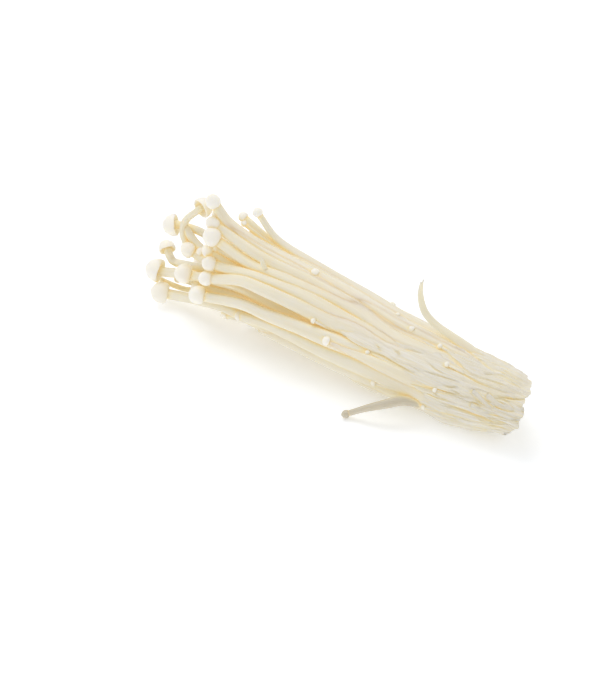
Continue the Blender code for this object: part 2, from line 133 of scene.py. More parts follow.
# The sheet's lower edge, as (along, angle), how many degrees it takes to fall there, and how far it is torn
SMOOTH_SHEET_LOWER_EDGE = ((30, 164), (40, 154), (46, 147), (56, 146), (64, 141))
SMOOTH_SHEET_LOWER_FALL = ((36, 18), (50, 6), (58, 3.5))
SMOOTH_SHEET_TEARS = 3.2
SMOOTH_SHEET_TEAR_LENGTH = 2.6
MM_A_DEGREE = 0.24

# Creases where stems have grown together: a line of (along, angle), half its width, its depth and how clearly
# the painted shade in it shows
Crease = namedtuple("Crease", "line half_width depth shows", defaults=(1.0,))
CREASES = (
    Crease(((66, 166), (51, 165), (37, 164), (26, 159), (18, 154), (10, 151)), 0.55, 1.4),
    Crease(((62, 141), (57, 147), (50, 146), (45, 143), (39, 146), (30, 149)), 0.5, 0.9),
    Crease(((50, 150), (42, 153), (34, 156), (27, 158)), 0.45, 0.8),
    Crease(((66, 104), (56, 103), (45, 101), (36, 101), (29, 103)), 0.5, 0.8),
    Crease(((49, 80), (41, 90), (36.5, 91), (30.5, 97), (25, 104), (19, 111), (12.5, 119)), 0.55, 1.1),
    Crease(((23, 118), (17, 121), (11, 124), (4, 124)), 0.5, 0.9),
    Crease(((36, 60), (28, 68), (20, 80), (12, 92), (7, 96)), 0.7, 0.7),
    Crease(((46, 193), (37, 199), (27, 198), (18, 194), (10, 192)), 0.45, 0.8),
    Crease(((20, 176), (10, 177), (4, 178), (-1, 180)), 0.6, 1.3),
    Crease(((8, 181), (2, 186), (-3, 190)), 0.45, 0.8),
    Crease(((4, 136), (-1, 130), (-7, 120)), 0.5, 0.9),
    Crease(((3, 151), (-1, 149), (-4, 147)), 0.55, 1.1),
    Crease(((49, 132), (46, 139)), 0.35, 0.5),
    Crease(((45, 119), (42, 127), (39, 135)), 0.35, 0.55),
    Crease(((60, 12), (40, 16), (20, 22), (6, 24)), 0.5, 1.0),
    Crease(((52, -30), (30, -26), (8, -20)), 0.5, 0.9),
)
# How strongly the painted shade in the creases shows
CREASE_SHADE_SHOWS = 0.75
# Short slanting creases, all round the block
SMALL_CREASES = 130
SMALL_CREASE_LENGTH = (5, 14)
SMALL_CREASE_SLANT = 8
SMALL_CREASE_HALF_WIDTH = (0.28, 0.5)
SMALL_CREASE_DEPTH = (0.3, 0.9)
# How strongly the painted shade in the small creases shows, for each unit of their depth
SMALL_CREASE_SHADE_SHOWS = 0.85
SMALL_CREASES_TO = 44
# How strongly the painted shade in the grooves between the ribs shows
GROOVE_SHADE_SHOWS = 0.6

# Stems broken off near the cut, lying on the block with their open ends out: a line of (along, angle), radius
BROKEN_STEMS = (
    (((11, 140), (7, 148), (3, 157), (-1, 162)), 1.0),
    (((6, 138), (2, 145), (-3, 147), (-7, 140)), 1.1),
    (((10, 161), (6, 165), (1, 164), (-3, 158)), 1.0),
)
BROKEN_RINGS = 26
BROKEN_SIDES = 14
BROKEN_FLATTEN = 0.9
BROKEN_SWELL = 0.12
BROKEN_ROOT_RING = 1.03
BROKEN_END_RING = 0.93
BROKEN_RIM = 0.3
BROKEN_HOLLOW = 0.9

# Stems and caps
ROOT_START = 9.0
RISE_STATIONS = (24.0, 46.0)
ROOT_SUNK = 0.76
STEM_SIDES = 24
STEM_RINGS = 72
STEM_FLATTEN = 0.92
ROOT_SHARE = 0.82
# Stems are pressed broad where they are packed, out to this share of their length
PACKED_WIDTH = 1.22
PACKED_TO = 0.45
PACKED_FADES = 0.3
# Flutes: how many there are round a stem, how deep they are, and how far they turn from ring to ring
FLUTE_COUNTS = (2, 3, 4, 5)
FLUTE_DEPTH = (0.015, 0.045)
FLUTE_PHASE = (0, 6.28)
FLUTE_DRIFT = (-0.03, 0.03)
STEM_SWELL = 0.07
STEM_SWELL_LENGTH = 14
STEM_WANDER = 0.5
STEM_WANDER_LENGTH = 20
STEM_TIP = 0.4
STEM_END_IN_CAP = 0.9
GRAIN_RADIUS = 2.2
GRAIN_SHIFT = 40
CAP_SIDES = 28
CAP_RINGS = 22
CAP_TALL = (0.94, 1.04)
CAP_LUMPS = 0.07
CAP_WAVES = 0.05
CAP_GRAIN_RADIUS = 3
CAP_GRAIN_LENGTH = 4
CAP_SMOOTHING = 2
CAP_NECK_RADIUS = 0.1
CAP_TOP = (0.995, 0.12)

# A cap's outline as (distance along its axis, radius), in cap lengths and cap radii, from the neck to the top
BUTTON = (
    (0.02, 0.3), (-0.03, 0.55), (-0.03, 0.78), (0.05, 0.95), (0.2, 1.05), (0.4, 1.07),
    (0.6, 0.98), (0.78, 0.8), (0.92, 0.5),
)
PARASOL = (
    (0.42, 0.25), (0.36, 0.48), (0.23, 0.72), (0.08, 0.9), (0.02, 1.0), (0.1, 1.07),
    (0.3, 1.08), (0.55, 0.99), (0.78, 0.8), (0.94, 0.48),
)
CAP_INSIDE = {BUTTON: 0.2, PARASOL: 0.45}
HEADS_TURN = Vector((-0.48, -0.68, 0.56))

# nod: how far a cap turns to the near side and up, away from the way its stem points
# neck: how thick the stem is at its cap, as a share of its thickness
# facing: which way an opened cap's top faces, on those that show the hollow under it
MUSHROOM_VALUES = "angle ring stem cap cap_length path nod neck facing"
Mushroom = namedtuple("Mushroom", MUSHROOM_VALUES, defaults=(0.0, 0.76, None))
NEAR_MUSHROOMS = (
    # Along the lower near side
    Mushroom(222, 0.95, 2.5, 0.75, 1.2, ((58, -10.8, 5.6), (69.5, -9.2, 5.8)), 0.0, 0.3),
    Mushroom(203, 0.93, 2.5, 0.0, 0.0, ((66, -12.2, 9.5), (86, -10, 9.4), (98, -7.8, 8.6)), 0.0, 0.88),
    Mushroom(180, 0.93, 2.4, 1.9, 3.0,
             ((57, -14.3, 13.6), (75, -14.5, 15.1), (92, -13.2, 15.2), (105, -9.8, 11.6)), 0.3),
    Mushroom(214, 0.8, 1.8, 1.7, 2.8, ((84, -9.5, 9.8), (100, -8.4, 10.4), (113.6, -6.6, 7.3)), 0.4),
    Mushroom(226, 0.72, 2.1, 3.7, 6.0,
             ((95, -8.6, 10), (114, -7.6, 10.4), (128, -6.2, 8), (142.2, -4.4, 4.4)), 0.8, 0.9),
    # Running out past the hollow at the middle of the near side
    Mushroom(158, 0.93, 2.3, 3.1, 5.3,
             ((58, -13.3, 19), (75, -14.3, 20.1), (92, -14.4, 20), (103, -13.1, 19.2), (120.8, -11.2, 15)),
             0.8),
    Mushroom(134, 0.93, 2.3, 2.5, 4.5,
             ((57, -9.4, 23.3), (76, -11.1, 25.8), (94, -12.4, 28), (104.5, -11.5, 27.4),
              (117.8, -10.4, 22.8)), 0.75),
    Mushroom(124, 0.9, 2.1, 2.5, 4.6, ((77, -8.3, 28), (96, -9.4, 29.8), (118, -8.1, 27.1)), 0.75),
    Mushroom(192, 0.5, 2.1, 4.1, 6.2,
             ((121, -4, 15.8), (134, -2.9, 14.4), (146.4, -1.8, 10.8)), 0.0, 0.88, (0.96, -0.25, 0.13)),
    Mushroom(172, 0.72, 2.1, 3.4, 5.6, ((104, -9.2, 22.5), (116, -8.4, 21.6), (129.5, -7.2, 18.5)), 0.8),
    # Along the top
    Mushroom(110, 0.93, 2.3, 3.1, 5.6,
             ((64, -3.5, 27.1), (88, -6, 30.3), (103, -5.8, 31), (119.2, -5, 35.2)), 0.8),
    Mushroom(97, 0.88, 2.5, 2.4, 4.6, ((82, -2.5, 31), (102, -2.8, 33.6), (121, -2, 38.6)), 0.55),
    Mushroom(84, 0.93, 2.6, 2.5, 4.6,
             ((84, 1.2, 31.4), (105, 0.8, 35.4), (118.2, 0.7, 40), (123.2, 0, 45.6)), 0.5),
    Mushroom(62, 0.93, 2.5, 1.75, 2.8,
             ((64, 7.4, 25.6), (87, 6.6, 31.2), (101, 5.6, 36.6), (108.2, 5, 44.4)), 0.3, 0.52),
    Mushroom(73, 0.9, 1.7, 1.75, 2.6, ((88, 4.8, 31.5), (102, 5.6, 34.4), (114.2, 5.1, 40.8)), 0.1),
    Mushroom(76, 0.84, 1.4, 1.3, 2.0, ((88, 4.2, 31), (104, 4.4, 35.2), (113.2, 4.1, 39.2)), 0.4),
    # Rising from the middle of the bunch
    Mushroom(130, 0.5, 1.8, 3.7, 5.4,
             ((106, 1, 26.5), (122, 2, 28.6), (132, 1.6, 31.2), (140.2, 0.2, 31.6)),
             0.0, 0.8, (0.87, -0.45, -0.2)),
    Mushroom(110, 0.5, 1.7, 3.5, 5.0,
             ((121, -3, 23.6), (134.4, -2, 27.2), (136.1, -1, 34.3), (130.6, 0.6, 41)),
             0.0, 0.76, (-0.3, 0.94, 0.18)),
    Mushroom(150, 0.5, 1.8, 2.6, 4.8, ((108, -5.5, 23), (119, -5, 24), (130.4, -4.1, 25.7)), 0.5),
    Mushroom(100, 0.4, 1.7, 2.9, 4.2,
             ((112, 0, 19), (130, -0.4, 17.6), (139.6, 0.5, 15.6), (143.6, 1, 15), (145.6, 1, 18.4)),
             0.0, 0.82, (0.7, 0.53, 0.48)),
    Mushroom(140, 0.72, 2.0, 2.3, 3.8, ((100, -6.4, 26.4), (112, -5.6, 27.2), (121.4, -5, 29.4)), 0.4),
    Mushroom(118, 0.65, 1.8, 1.7, 2.8, ((106, -4, 25.6), (116, -3.3, 25.4), (126.6, -3, 26.2)), 0.4),
    # Between the others, with heads that stay behind theirs
    Mushroom(104, 0.74, 2.2, 1.8, 2.8, ((90, -3.4, 27.6), (108, -3.2, 29.4), (119.6, -3.4, 31)), 0.3),
    Mushroom(90, 0.78, 2.4, 1.8, 2.8, ((85, 0.2, 30), (103, -0.8, 32.6), (119.4, -0.8, 36.6)), 0.3),
    Mushroom(92, 0.9, 2.3, 1.7, 2.4,
             ((84, -0.9, 31.2), (104, -0.2, 35), (117, 0.2, 38.8), (122.2, 0.4, 41.6)), 0.4),
    Mushroom(70, 0.78, 2.0, 1.6, 2.4, ((84, 3.2, 29.8), (100, 3, 33), (110, 3, 35.6)), 0.2),
    Mushroom(146, 0.74, 2.1, 2.0, 3.0, ((84, -8, 22), (104, -7.6, 23.6), (120, -6.6, 20.6)), 0.3),
    Mushroom(166, 0.76, 2.2, 2.2, 3.2, ((84, -9.6, 17.4), (104, -9.2, 18), (126, -6.6, 14)), 0.3),
    Mushroom(120, 0.5, 1.9, 0.0, 0.0,
             ((110, -3.4, 26), (121, -3.2, 25.6), (131, -1.6, 28.4), (136.6, -0.6, 33.2))),
    Mushroom(214, 0.4, 1.3, 1.2, 1.8,
             ((112, -2.4, 14), (130.5, -0.5, 7.8), (139, 0, 5.6), (147, 0, 5.6)), 0.2),
    Mushroom(186, 0.4, 1.7, 1.6, 2.4, ((112, -2, 15.4), (128.6, 0, 10.6), (140.4, 1, 8.6)), 0.2),
    # Short ones that lie on the others
    Mushroom(160, 0.98, 2.1, 1.65, 2.4, ((50, -14.3, 18), (65, -15.3, 19.7)), 0.5, 0.42),
    Mushroom(88, 0.98, 2.2, 1.55, 2.5, ((64, 0.6, 28), (81, 0.8, 32.2)), 0.5, 0.36),
)
# A stem bent out from under the bunch, lying on the surface
LOOSE_MUSHROOM = Mushroom(226, 0.86, 1.8, 1.45, 2.5,
                          ((34, -16.6, 8.6), (38, -20, 7.9), (43.5, -22.6, 5.6), (50.3, -25, 1.95)), 0.5, 0.6)

# The far side and the underside
FAR_ANGLES = tuple(range(44, -118, -18))
FAR_RING = 0.92
FAR_REACH = (116.0, 141.0)
UNDER_REACH = (96.0, 122.0)
FAR_FLARE = (1.0, 1.16)
FAR_STEM = (1.8, 2.1)
FAR_CAP = (2.2, 3.3)
FAR_DROP_STARTS = 24.0
FAR_DROP_ENDS = -58.0
FAR_CAP_CLEARS = 1.15
FAR_TOP_LIMIT = 25.0
UNDER_FROM = -70.0
UNDER_SIDESTEP = 5.0
INNER_MUSHROOMS = 4
INNER_ANGLES = (20, -60)
INNER_FLARE = 0.62

Pin = namedtuple("Pin", "along angle length head ring", defaults=(1.03,))
PINS = (
    Pin(50, 149, 14, 0.8),
    Pin(49, 80, 14, 0.8, 1.1),
    Pin(41, 91, 13, 1.0, 1.09),
    Pin(29, 97, 8, 0.75, 1.06),
    Pin(22.8, 118, 9, 0.8, 1.05),
    Pin(46, 193, 16, 1.0),
    Pin(23, 158, 9, 0.75),
    Pin(27, 198, 9, 0.75),
    Pin(58, 30, 20, 1.0),
    Pin(40, -20, 18, 0.9),
    Pin(70, 4, 26, 1.1),
    Pin(72, 146, 7, 0.8),
)
PIN_STEM_SHARE = 0.58
PIN_ROOT_RING = 0.86
PIN_MIDDLE_SHARE = 0.92
PIN_HEAD = ((-0.05, 0.8), (0.12, 1.1), (0.42, 1.2), (0.7, 1.02), (0.9, 0.6))
PIN_SIDES = 16
PIN_RINGS = 24
PIN_ROOT_WIDER = 1.6
PIN_HEAD_TONE = 1.0

# Torn slivers of flesh
Sliver = namedtuple("Sliver", "line radii")
SLIVERS = (
    Sliver(((16, 4, 20.4), (26.5, 4, 24.5), (35.4, 4, 27.7), (39.6, 4, 31), (41.4, 4, 36.5), (41.2, 4, 41.4),
            (40.8, 4, 43.6)), (1.8, 2.0, 1.55, 1.35, 1.35, 1.1, 0.6)),
    Sliver(((96.4, -6, 30.6), (97.4, -6.9, 32.8), (98.1, -7.2, 34.8), (98.8, -7.3, 36.6)),
           (0.8, 0.9, 0.85, 0.6)),
)
# How far each place across a sliver's torn end falls short of its length, from one edge to the other
SLIVER_TEARS = ((-1.0, 1.3), (-0.75, 1.0), (-0.3, 2.4), (0.1, 1.7), (0.7, 0.3), (1.0, 0.5))
SLIVER_SHARE_TORN = 0.22
SLIVER_RINGS = 48
SLIVER_SIDES = 22
SLIVER_FACES = Vector((-0.59, 0.69, 0.33))
SLIVER_WIDTH = 0.95
SLIVER_THICKNESS = 0.35
SLIVER_TIP_ACROSS = -0.1
SLIVER_TONE = 0.3

# How far away flesh still closes a place in, how much far and near flesh count, how soon near flesh's share
# falls off, and how often the result is evened out
# This closing-in sets where the flesh's painted shade and painted glow come in.
GAP_REACH = 9.0
GAP_FAR = 0.58
GAP_NEAR = 0.75
GAP_NEAR_REACH = 2.0
GAP_RAYS = 16
GAP_RAY_START = 0.15
GAP_RAYS_LEAN_OUT = 1.02
GAP_SMOOTHING = 1

# Camera, aimed as the photograph is
CAMERA_PLACE = (0.40974, -0.60543, 0.50341)
CAMERA_TURN = (56.0, 0.0, 35.0)
CAMERA_LENS = 136.36

# Light from all round, from a soft lamp above and from the pale floor
WORLD_LIGHT = 0.75
LAMP_PLACE = (-0.45, 0.2, 0.95)
LAMP_SIZE = 0.9
LAMP_POWER = 3.4
FLOOR_COLOUR = (0.93, 0.95, 0.98, 1)
FLOOR_LIGHT = 0.24


# Shapes that the pieces share


def ease(low, high, share):
    share = min(1.0, max(0.0, share))
    share = share * share * (3 - 2 * share)
    return low + (high - low) * share


def bump(angle, middle, half):
    """1 at the middle angle, easing to 0 at half on either side of it."""
    away = abs((angle - middle + 180) % 360 - 180)
    return ease(1, 0, away / half)


def round_way(angle):
    """The way round the bunch at that angle."""
    turn = math.radians(angle)
    return Vector((0, -math.sin(turn), math.cos(turn)))


def section_at(along):
    """The bunch's girth at a place along it."""
    along = min(max(along, SECTIONS[0].along), SECTIONS[-1].along)
    for before, after in zip(SECTIONS, SECTIONS[1:]):
        if along <= after.along:
            share = (along - before.along) / (after.along - before.along)
            return Section(along, *(a + (b - a) * share for a, b in zip(before[1:], after[1:])))


def on_bunch(along, angle, ring):
    """A place at that angle round the bunch, ring times as far out as its girth."""
    girth = section_at(along)
    turn = math.radians(angle)
    across = girth.half_width * ring * math.cos(turn)
    return Vector((along, across, girth.centre_up + girth.half_height * ring * math.sin(turn)))


def to_world(place):
    along, across, up = place
    return ((FOOTPRINT_MIDDLE[0] - along) * MM, (across - FOOTPRINT_MIDDLE[1]) * MM, max(0.0, up) * MM)


def smooth_line(places, count):
    """count points, evenly spaced, on a smooth curve through the places."""
    points = [Vector(p) for p in places]
    knots = [points[0] * 2 - points[1], *points, points[-1] * 2 - points[-2]]
    dense = []
    steps = 40
    for a, b, c, d in zip(knots, knots[1:], knots[2:], knots[3:]):
        reach = (c - b).length
        start = (c - a).normalized() * reach
        end = (d - b).normalized() * reach
        for i in range(steps):
            t = i / steps
            dense.append(
                b * (2 * t**3 - 3 * t**2 + 1)
                + start * (t**3 - 2 * t**2 + t)
                + c * (3 * t**2 - 2 * t**3)
                + end * (t**3 - t**2)
            )
    dense.append(points[-1])
    run = [0.0]
    for a, b in zip(dense, dense[1:]):
        run.append(run[-1] + (b - a).length)
    line = []
    at = 0
    for i in range(count):
        wanted = run[-1] * i / (count - 1)
        while at < len(run) - 2 and run[at + 1] < wanted:
            at += 1
        share = (wanted - run[at]) / (run[at + 1] - run[at])
        line.append(dense[at].lerp(dense[at + 1], min(1.0, share)))
    return line


def spread_values(values, count):
    """count values read off the curve through evenly spaced values."""
    return np.interp(np.linspace(0, len(values) - 1, count), range(len(values)), values)


def read_table(table, at):
    """Reads between the rows of a table of (place, value)."""
    return float(np.interp(at, [row[0] for row in table], [row[1] for row in table]))


def noise_at(x, y, z):
    return noise.noise(Vector((x, y, z)))


def noise_round(turn, around, z):
    """Noise on a circle, so that it closes up after a full turn. It is finer the larger around is."""
    return noise_at(math.cos(turn) * around, math.sin(turn) * around, z)


class Growth:
    """Vertices and faces of one piece, with what its material reads at each vertex.

    fibre: the place in the flesh's own grain, in mm, round and then along
    tone: which mushroom it is, from 0 to 1
    """

    def __init__(self):
        self.places = []
        self.faces = []
        self.fibre = []
        self.tone = []

    def add_ring(self, places, fibres, tone):
        first = len(self.places)
        self.places += [to_world(p) for p in places]
        self.fibre += fibres
        self.tone += [tone] * len(places)
        return range(first, len(self.places))

    def join_rings(self, ring, after):
        count = len(ring)
        for n in range(count):
            m = (n + 1) % count
            self.faces.append((ring[m], ring[n], after[n], after[m]))

    def close(self, ring, place, fibre, tone, inwards=False):
        tip = self.add_ring([place], [fibre], tone)[0]
        for n in range(len(ring)):
            m = (n + 1) % len(ring)
            self.faces.append((ring[n], ring[m], tip) if inwards else (ring[m], ring[n], tip))

    def to_object(self, name):
        data = bpy.data.meshes.new(name)
        data.from_pydata(self.places, [], self.faces)
        data.shade_smooth()
        fibre = data.attributes.new("fibre", "FLOAT_VECTOR", "POINT")
        fibre.data.foreach_set("vector", np.array(self.fibre, dtype=np.float32).ravel())
        tone = data.attributes.new("tone", "FLOAT", "POINT")
        tone.data.foreach_set("value", np.array(self.tone, dtype=np.float32))
        made = bpy.data.objects.new(name, data)
        bpy.context.scene.collection.objects.link(made)
        return made


def tube(growth, line, radii, sides, start_side, section, tone):
    """A tube round the line. section(turn, i) is the share of the radius at that turn of ring i."""
    side = start_side
    previous = None
    run = 0.0
    for i, (centre, radius) in enumerate(zip(line, radii)):
        forward = (line[min(i + 1, len(line) - 1)] - line[max(i - 1, 0)]).normalized()
        side = (side - forward * side.dot(forward)).normalized()
        rise = forward.cross(side)
        run += (centre - line[max(i - 1, 0)]).length
        places = []
        fibres = []
        for n in range(sides):
            turn = 2 * math.pi * n / sides
            wide, tall = section(turn, i)
            place = centre + side * math.cos(turn) * radius * wide
            places.append(place + rise * math.sin(turn) * radius * tall)
            grain = (math.cos(turn) * GRAIN_RADIUS + tone * GRAIN_SHIFT, math.sin(turn) * GRAIN_RADIUS)
            fibres.append((*grain, run))
        ring = growth.add_ring(places, fibres, tone)
        if previous is not None:
            growth.join_rings(previous, ring)
        previous = ring
    return previous, side, run


# Mushrooms


def far_mushrooms():
    """The far side, the underside and the middle behind the heads."""
    draw = random.Random(SEED)
    made = []
    for angle in FAR_ANGLES:
        under = angle < UNDER_FROM
        reach = draw.uniform(*(UNDER_REACH if under else FAR_REACH))
        flare = draw.uniform(*FAR_FLARE)
        made.append(far_mushroom(draw, angle, FAR_RING, reach, flare, UNDER_SIDESTEP * under))
    low, high = INNER_ANGLES
    for i in range(INNER_MUSHROOMS):
        angle = low + (high - low) * i / (INNER_MUSHROOMS - 1)
        made.append(far_mushroom(draw, angle, 0.5, draw.uniform(*FAR_REACH), INNER_FLARE, 0))
    return made


def far_mushroom(draw, angle, ring, reach, flare, sidestep):
    cap = draw.uniform(*FAR_CAP)
    drop = ease(0, 1, (FAR_DROP_STARTS - angle) / (FAR_DROP_STARTS - FAR_DROP_ENDS))
    tip = on_bunch(reach, angle, flare)
    low = cap * FAR_CAP_CLEARS
    tip.z = min(FAR_TOP_LIMIT, tip.z + (low - tip.z) * drop)
    tip.y += sidestep
    middle = on_bunch((70 + reach) / 2, angle, ring * (1 + flare) / 2)
    middle.z = min(FAR_TOP_LIMIT, middle.z + (low - middle.z) * drop / 2)
    middle.y += draw.uniform(-1, 1) + sidestep / 2
    return Mushroom(angle, ring, draw.uniform(*FAR_STEM), cap, cap * 1.5, (middle, tip))


def stem_line(mushroom):
    root = [on_bunch(ROOT_START, mushroom.angle, mushroom.ring * ROOT_SUNK)]
    for along in RISE_STATIONS:
        if along < mushroom.path[0][0] - 8:
            sunk = ease(ROOT_SUNK, 1, along / RISE_STATIONS[-1])
            root.append(on_bunch(along, mushroom.angle, mushroom.ring * sunk))
    return smooth_line([*root, *mushroom.path], STEM_RINGS)


def add_stem(growth, mushroom, draw, tone):
    line = stem_line(mushroom)
    lean = draw.uniform(0, 100)
    flutes = [
        (count, draw.uniform(*FLUTE_DEPTH), draw.uniform(*FLUTE_PHASE), draw.uniform(*FLUTE_DRIFT))
        for count in FLUTE_COUNTS
    ]
    radii = []
    for i, place in enumerate(line):
        share = i / (STEM_RINGS - 1)
        thinning = ease(ROOT_SHARE, 1, share * 3) * ease(1, mushroom.neck, share * 2.5 - 1.5)
        swell = 1 + STEM_SWELL * noise_at(lean, place.x / STEM_SWELL_LENGTH, 0)
        radii.append(mushroom.stem * thinning * swell)
        wander = STEM_WANDER * ease(0, 1, min(share, 1 - share) * 6)
        place.y += wander * noise_at(lean, place.x / STEM_WANDER_LENGTH, 5)
        place.z += wander * noise_at(lean, place.x / STEM_WANDER_LENGTH, 9)

    def section(turn, i):
        grown = 1.0
        for count, depth, phase, drift in flutes:
            grown += depth * math.cos(count * turn + phase + drift * i)
        packed = ease(PACKED_WIDTH, 1.0, (i / STEM_RINGS - PACKED_TO) / PACKED_FADES)
        return grown * packed, grown * STEM_FLATTEN

    neck = line[-1]
    forward = (neck - line[-2]).normalized()
    axis = Vector(mushroom.facing or forward + HEADS_TURN * mushroom.nod).normalized()
    if mushroom.cap:
        inside = CAP_INSIDE[PARASOL if mushroom.facing else BUTTON]
        line.append(neck + axis * mushroom.cap_length * inside)
        radii.append(radii[-1] * STEM_END_IN_CAP)
    ring, side, run = tube(growth, line, radii, STEM_SIDES, round_way(mushroom.angle), section, tone)
    growth.close(ring, line[-1] + forward * STEM_TIP, (tone * GRAIN_SHIFT, 0, run), tone)
    return neck, axis, (side - axis * side.dot(axis)).normalized()


def add_cap(growth, mushroom, neck, axis, side, draw, tone):
    outline = PARASOL if mushroom.facing else BUTTON
    rows = [(outline[0][0], CAP_NECK_RADIUS), *outline, CAP_TOP]
    distances = spread_values([distance for distance, _ in rows], CAP_RINGS)
    shares = spread_values([share for _, share in rows], CAP_RINGS)
    for _ in range(CAP_SMOOTHING):
        distances[1:-1] = (distances[:-2] + 2 * distances[1:-1] + distances[2:]) / 4
        shares[1:-1] = (shares[:-2] + 2 * shares[1:-1] + shares[2:]) / 4
    rise = axis.cross(side)
    lean = draw.uniform(0, 100)
    tall = draw.uniform(*CAP_TALL)
    previous = None
    for distance, share in zip(distances, shares):
        centre = neck + axis * mushroom.cap_length * distance
        places = []
        fibres = []
        for n in range(CAP_SIDES):
            turn = 2 * math.pi * n / CAP_SIDES
            out = side * math.cos(turn) + rise * math.sin(turn) * tall
            lumps = 1 + CAP_LUMPS * noise.noise(out * 1.1 + Vector((lean, distance * 1.2, 0)))
            waves = CAP_WAVES * noise.noise(out * 1.4 + Vector((0, lean, share)))
            places.append(centre + out * mushroom.cap * share * lumps + axis * mushroom.cap_length * waves)
            wide = share * CAP_GRAIN_RADIUS
            grain = (math.cos(turn) * wide + tone * GRAIN_SHIFT, math.sin(turn) * wide)
            fibres.append((*grain, distance * CAP_GRAIN_LENGTH))
        ring = growth.add_ring(places, fibres, tone)
        if previous is not None:
            growth.join_rings(previous, ring)
        else:
            growth.close(ring, centre, fibres[0], tone, inwards=True)
        previous = ring
    growth.close(previous, neck + axis * mushroom.cap_length, fibres[0], tone)


def add_mushroom(stems, caps, mushroom, draw, tone):
    neck, axis, side = add_stem(stems, mushroom, draw, tone)
    if mushroom.cap:
        add_cap(caps, mushroom, neck, axis, side, draw, tone)


def build_mushrooms():
    stems = Growth()
    caps = Growth()
    draw = random.Random(SEED)
    for mushroom in [*NEAR_MUSHROOMS, *far_mushrooms()]:
        add_mushroom(stems, caps, mushroom, draw, draw.random())
    return stems.to_object("stems"), caps.to_object("caps")


def build_loose_mushroom():
    loose = Growth()
    add_mushroom(loose, loose, LOOSE_MUSHROOM, random.Random(SEED), 0.5)
    return loose.to_object("loose_mushroom")


def build_pins():
    """Each has a pale head, marked by its tone, on a stem of the flesh's own colour."""
    pins = Growth()
    for pin in PINS:
        root = on_bunch(pin.along - pin.length, pin.angle, PIN_ROOT_RING)
        middle = on_bunch(pin.along - pin.length / 2, pin.angle, pin.ring * PIN_MIDDLE_SHARE)
        line = smooth_line([root, middle, on_bunch(pin.along, pin.angle, pin.ring)], PIN_RINGS)
        thick = pin.head * PIN_STEM_SHARE
        radii = [thick * ease(PIN_ROOT_WIDER, 1, i / (PIN_RINGS - 1)) for i in range(PIN_RINGS)]
        neck = line[-1]
        axis = (line[-1] - line[-2]).normalized()
        for distance, share in PIN_HEAD:
            line.append(neck + axis * pin.head * 2 * distance)
            radii.append(pin.head * share)
        way = round_way(pin.angle)
        ring, side, run = tube(pins, line, radii, PIN_SIDES, way, lambda turn, i: (1, 1), 0.0)
        pins.close(ring, neck + axis * pin.head * 2, (0, 0, run), PIN_HEAD_TONE)
        in_head = PIN_SIDES * len(PIN_HEAD) + 1
        pins.tone[-in_head:] = [PIN_HEAD_TONE] * in_head
    return pins.to_object("pins")


def sliver_section(turn, i):
    return SLIVER_WIDTH, SLIVER_THICKNESS


def build_slivers():
    """Flat strips that end in torn points."""
    slivers = Growth()
    for sliver in SLIVERS:
        line = smooth_line(sliver.line, SLIVER_RINGS)
        radii = spread_values(sliver.radii, SLIVER_RINGS)
        ring, side, run = tube(slivers, line, radii, SLIVER_SIDES, SLIVER_FACES, sliver_section, SLIVER_TONE)
        slivers.close(ring, line[-1], (0, 0, run), SLIVER_TONE)
        on_rings = SLIVER_RINGS * SLIVER_SIDES
        first = len(slivers.places) - on_rings - 1
        forward = np.array(to_world(line[-1])) - np.array(to_world(line[-2]))
        forward *= MM * sliver.radii[1] / (2 * np.linalg.norm(forward))
        for i in range(on_rings + 1):
            ring_index, n = divmod(i, SLIVER_SIDES)
            across = math.cos(2 * math.pi * n / SLIVER_SIDES) if i < on_rings else SLIVER_TIP_ACROSS
            torn = ease(0, 1, (ring_index / SLIVER_RINGS - 1 + SLIVER_SHARE_TORN) / SLIVER_SHARE_TORN)
            back = forward * read_table(SLIVER_TEARS, across) * torn
            slivers.places[first + i] = tuple(np.array(slivers.places[first + i]) - back)
    return slivers.to_object("slivers")


# Root block


def arch(across):
    """A rib's rounded top, from its middle at 0 to its edge at 1."""
    return math.sqrt(max(0.0, 1 - (RIB_ARCH_WIDTH * across) ** 2)) - RIB_ARCH_DROP


def rib_height(turn, along, ribs):
    """Rounded ribs that wander along the block, with fine fibres on them.

    Gives how high the place stands, and how deep in a groove it is, from 0 to 1; the depth sets the groove's
    painted shade.
    """
    near_cut = ease(1, 0, along / 24)
    wander = (0.5 + 0.8 * near_cut) * noise_round(turn, 1.6, along / 16)
    wander += 0.35 * near_cut * noise_round(turn, 5, along / 4)
    at = (turn / (2 * math.pi) * RIBS + wander) % RIBS
    across = abs(2 * (at % 1.0) - 1)
    depth = ribs[int(at)] * (0.7 + 0.5 * noise_at(at, along / 12, 3))
    fine_across = abs(2 * (at * FINE_RIBS / RIBS % 1.0) - 1)
    fine_depth = 0.5 + noise_round(turn, 4, along / 9 + 3)
    groove = ease(0, depth, (across - GROOVE_FROM) / (1 - GROOVE_FROM))
    fine_groove = (fine_across - FINE_GROOVE_FROM) / (1 - FINE_GROOVE_FROM)
    groove = max(groove, ease(0, FINE_GROOVE_SHARE * fine_depth, fine_groove))
    fibres = FIBRE_HEIGHT * noise_round(turn, FIBRES_AROUND, along / 6)
    lumps = ease(LUMPS_AT_CUT, LUMPS_FURTHER, along / LUMPS_FADE) * noise_round(turn, 4.2, along / 5 + 7)
    sheet = ease(1, 0, abs(math.degrees(turn) - SMOOTH_SHEET_ANGLE) / SMOOTH_SHEET_HALF_ANGLE)
    smooth = 1 - SMOOTH_SHEET_SHARE * sheet * ease(0, 1, (along - 16) / 14)
    height = RIB_HEIGHT * depth * arch(across) + FINE_RIB_HEIGHT * arch(fine_across) * fine_depth
    return height * smooth + fibres + lumps * smooth, groove * smooth


